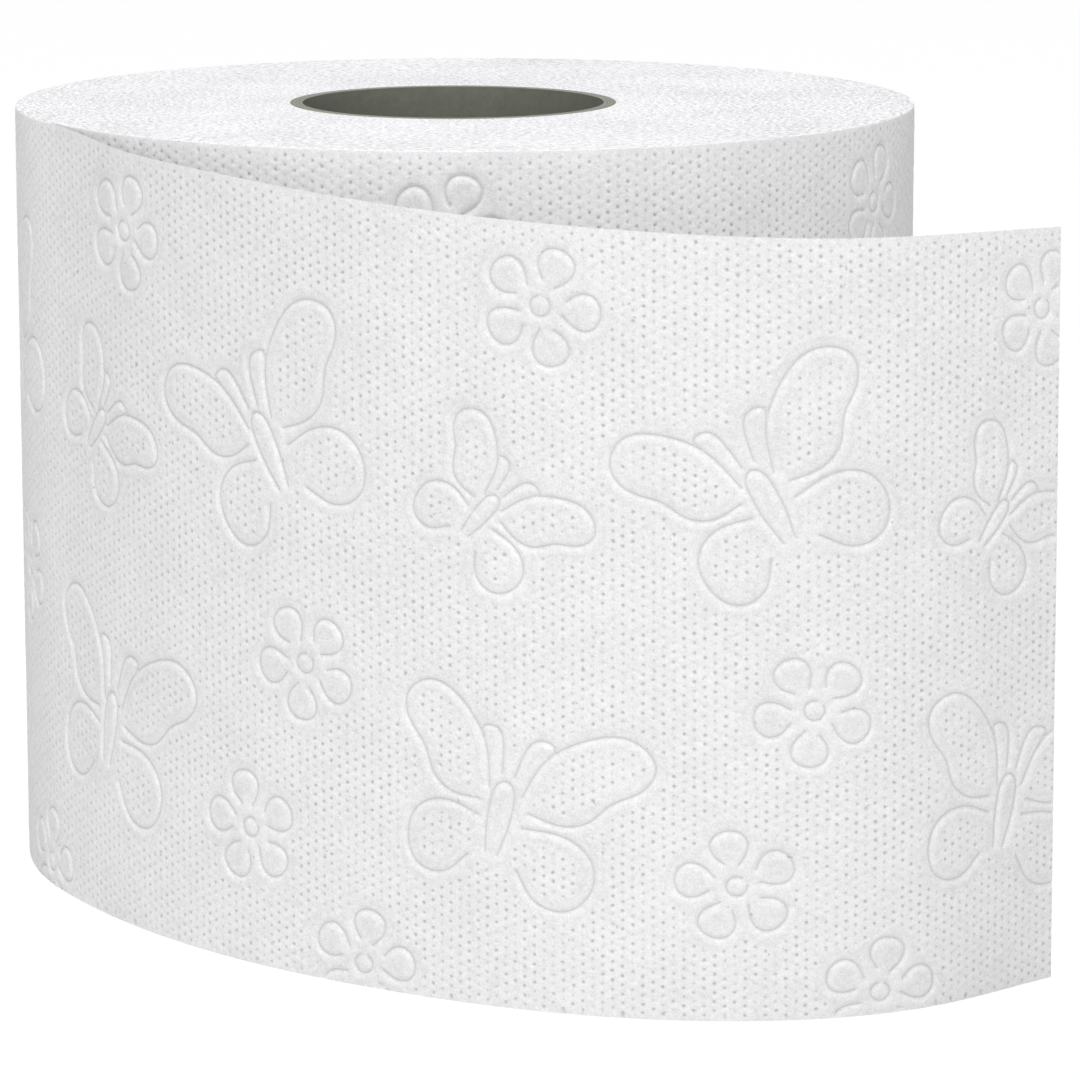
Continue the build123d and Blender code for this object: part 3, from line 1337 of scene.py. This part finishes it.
class ROLL_OT_loose_end(bpy.types.Operator):
    """Build the loose end of the web, in two lengths"""

    bl_idname = "roll.loose_end"
    bl_label = "Loose end"

    def execute(self, context):
        sizes = context.scene.roll_sizes
        sheet = LooseSheet(sizes, context.scene.roll_emboss, WEB_WIDTH)
        for number in range(sheet.LENGTHS):
            piece = sheet.length(number).make(f"loose_end_{number + 1}", tissue_materials(sizes))
            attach(piece, "root")
            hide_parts("paper_roll")
        return {"FINISHED"}


class ROLL_OT_core_tube(bpy.types.Operator):
    """Build the board tube in the middle of the roll"""

    bl_idname = "roll.core_tube"
    bl_label = "Core tube"

    def execute(self, context):
        tube = CoreTube(BORE_RADIUS, core_high.x, WEB_WIDTH)
        piece = tube.make("board_tube", board_material(context.scene.roll_sizes.board))
        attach(piece, "root")
        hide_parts("core_tube")
        return {"FINISHED"}


class ROLL_OT_stage(bpy.types.Operator):
    """Build the floor, the lamps, the world and the camera"""

    bl_idname = "roll.stage"
    bl_label = "Stage"

    # Places and sides of the lamps, and the point that both face
    KEY_PLACE = (-0.14, -1.57, 0.24)
    KEY_SIDE = 0.6
    TOP_PLACE = (-0.05, -0.5, 1.3)
    TOP_SIDE = 1.0
    FACED = (0.0, 0.0, 0.05)
    # How much of what the camera sees of the floor is plain white, and how bright that is: the
    # rest keeps the shadow
    WHITE_SHARE = 0.88
    WHITE_STRENGTH = 1.07
    WHITE = (1.0, 1.0, 1.0)
    NEAREST = 0.01
    FARTHEST = 100.0

    def execute(self, context):
        scene = context.scene
        stage = scene.roll_stage
        self.floor(scene, stage)
        self.world(scene, stage)
        self.lamp(scene, "key", self.KEY_PLACE, self.KEY_SIDE, stage.key_power)
        self.lamp(scene, "top", self.TOP_PLACE, self.TOP_SIDE, stage.top_power)
        self.camera(scene)
        scene.view_settings.view_transform = "Standard"
        return {"FINISHED"}

    def floor(self, scene, stage):
        """Square floor, near white to the camera and pale to the light, with the shadow on it."""
        half = stage.floor_size / 2
        corners = [(-half, -half, 0), (half, -half, 0), (half, half, 0), (-half, half, 0)]
        mesh = bpy.data.meshes.new("floor")
        mesh.from_pydata(corners, [], [(0, 1, 2, 3)])
        floor_piece = bpy.data.objects.new("floor", mesh)
        scene.collection.objects.link(floor_piece)
        material, shader = new_material("floor")
        plain = shader.add("ShaderNodeBsdfDiffuse", {}, {"Color": tuple(stage.floor_colour)})
        white = shader.add(
            "ShaderNodeEmission", {}, {"Color": self.WHITE, "Strength": self.WHITE_STRENGTH}
        )
        share = shader.seen() * self.WHITE_SHARE
        mixed = shader.add(
            "ShaderNodeMixShader", {}, {0: share, 1: plain.outputs[0], 2: white.outputs[0]}
        )
        shader.add("ShaderNodeOutputMaterial", {}, {"Surface": mixed.outputs[0]})
        mesh.materials.append(material)

    def world(self, scene, stage):
        """World that looks white and lights the object less."""
        world = bpy.data.worlds.new("studio")
        world.use_nodes = True
        scene.world = world
        shader = Shader(world.node_tree)
        strength = shader.seen() * (1 - stage.world_strength) + stage.world_strength
        light = shader.add("ShaderNodeBackground", {}, {"Color": self.WHITE, "Strength": strength})
        shader.add("ShaderNodeOutputWorld", {}, {"Surface": light.outputs[0]})

    def lamp(self, scene, name, place, side, power):
        """Square lamp that faces the object."""
        light = bpy.data.lights.new(name, "AREA")
        light.size = side
        light.energy = power
        lamp = bpy.data.objects.new(name, light)
        scene.collection.objects.link(lamp)
        lamp.location = place
        facing = Vector(self.FACED) - Vector(place)
        lamp.rotation_euler = facing.to_track_quat("-Z", "Y").to_euler()

    def camera(self, scene):
        """Camera on the picture's line of sight."""
        lens = bpy.data.cameras.new("camera")
        lens.sensor_fit = "HORIZONTAL"
        lens.angle = LENS_ANGLE
        lens.clip_start = self.NEAREST
        lens.clip_end = self.FARTHEST
        camera = bpy.data.objects.new("camera", lens)
        scene.collection.objects.link(camera)
        turn = Matrix.Rotation(-CAMERA_YAW, 4, "Z") @ Matrix.Rotation(pi / 2 - CAMERA_PITCH, 4, "X")
        turn = turn @ Matrix.Rotation(CAMERA_ROLL, 4, "Z")
        camera.matrix_world = Matrix.Translation(CAMERA_PLACE) @ turn
        scene.camera = camera


OPERATORS = (ROLL_OT_stage, ROLL_OT_core_tube, ROLL_OT_wound_web, ROLL_OT_loose_end)


# Panel

class ROLL_PT_pieces(bpy.types.Panel):
    """Lists the pieces of the roll and its stage"""

    bl_label = "Toilet paper roll"
    bl_idname = "ROLL_PT_pieces"
    bl_space_type = "VIEW_3D"
    bl_region_type = "UI"
    bl_category = "Paper roll"

    def draw(self, context):
        scene = context.scene
        for operator in OPERATORS:
            self.layout.operator(operator.bl_idname)
        for group in (scene.roll_sizes, scene.roll_emboss, scene.roll_stage):
            box = self.layout.box()
            for name in group.__annotations__:
                box.prop(group, name)


CLASSES = (RollSettings, EmbossSettings, StageSettings, *OPERATORS, ROLL_PT_pieces)


def register():
    """Registers the classes and puts the settings on the scene."""
    for item in CLASSES:
        bpy.utils.register_class(item)
    bpy.types.Scene.roll_sizes = PointerProperty(type=RollSettings)
    bpy.types.Scene.roll_emboss = PointerProperty(type=EmbossSettings)
    bpy.types.Scene.roll_stage = PointerProperty(type=StageSettings)


def unregister():
    """Takes the settings off the scene and removes the classes."""
    del bpy.types.Scene.roll_stage
    del bpy.types.Scene.roll_emboss
    del bpy.types.Scene.roll_sizes
    for item in reversed(CLASSES):
        bpy.utils.unregister_class(item)


def main():
    """Builds everything."""
    register()
    bpy.ops.roll.stage()
    bpy.ops.roll.core_tube()
    bpy.ops.roll.wound_web()
    bpy.ops.roll.loose_end()


if __name__ == "__main__":
    main()
